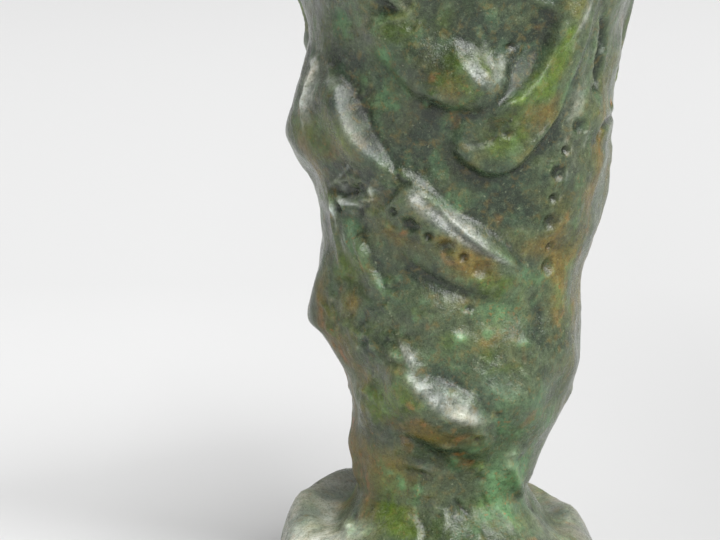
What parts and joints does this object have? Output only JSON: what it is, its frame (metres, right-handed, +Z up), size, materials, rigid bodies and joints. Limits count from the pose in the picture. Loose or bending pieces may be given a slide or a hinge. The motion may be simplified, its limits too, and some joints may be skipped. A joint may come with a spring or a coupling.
{
  "type": "display plinth",
  "caption": "Small cast bronze display plinth: a hollow stem of gathered drapery on a round mound foot, with a turned seat plate tapped for the exhibit.",
  "frame": {"origin": "centre of the underside of the felt, on the tie rod's axis", "axes": "+Z up, the front of the drapery faces -Y, +X to its right"},
  "size_m": [0.048, 0.045, 0.092],
  "materials": {
    "patinated_bronze": "waxed green and brown patina",
    "turned_bronze": "turned, dark patina, worn at the edges",
    "bronze_pin": "drawn rod",
    "zinc_steel": "zinc plated",
    "felt": "pressed wool felt"
  },
  "bodies": {
    "root": {"drapery_stem": "patinated_bronze", "core_plugs": "patinated_bronze", "seat_plate": "turned_bronze", "seat_dowels": "bronze_pin", "tie_rod": "zinc_steel", "bottom_plate": "zinc_steel", "plain_washer": "zinc_steel", "spring_washer": "zinc_steel", "tie_nut": "zinc_steel", "base_felt": "felt"}
  },
  "joints": []
}
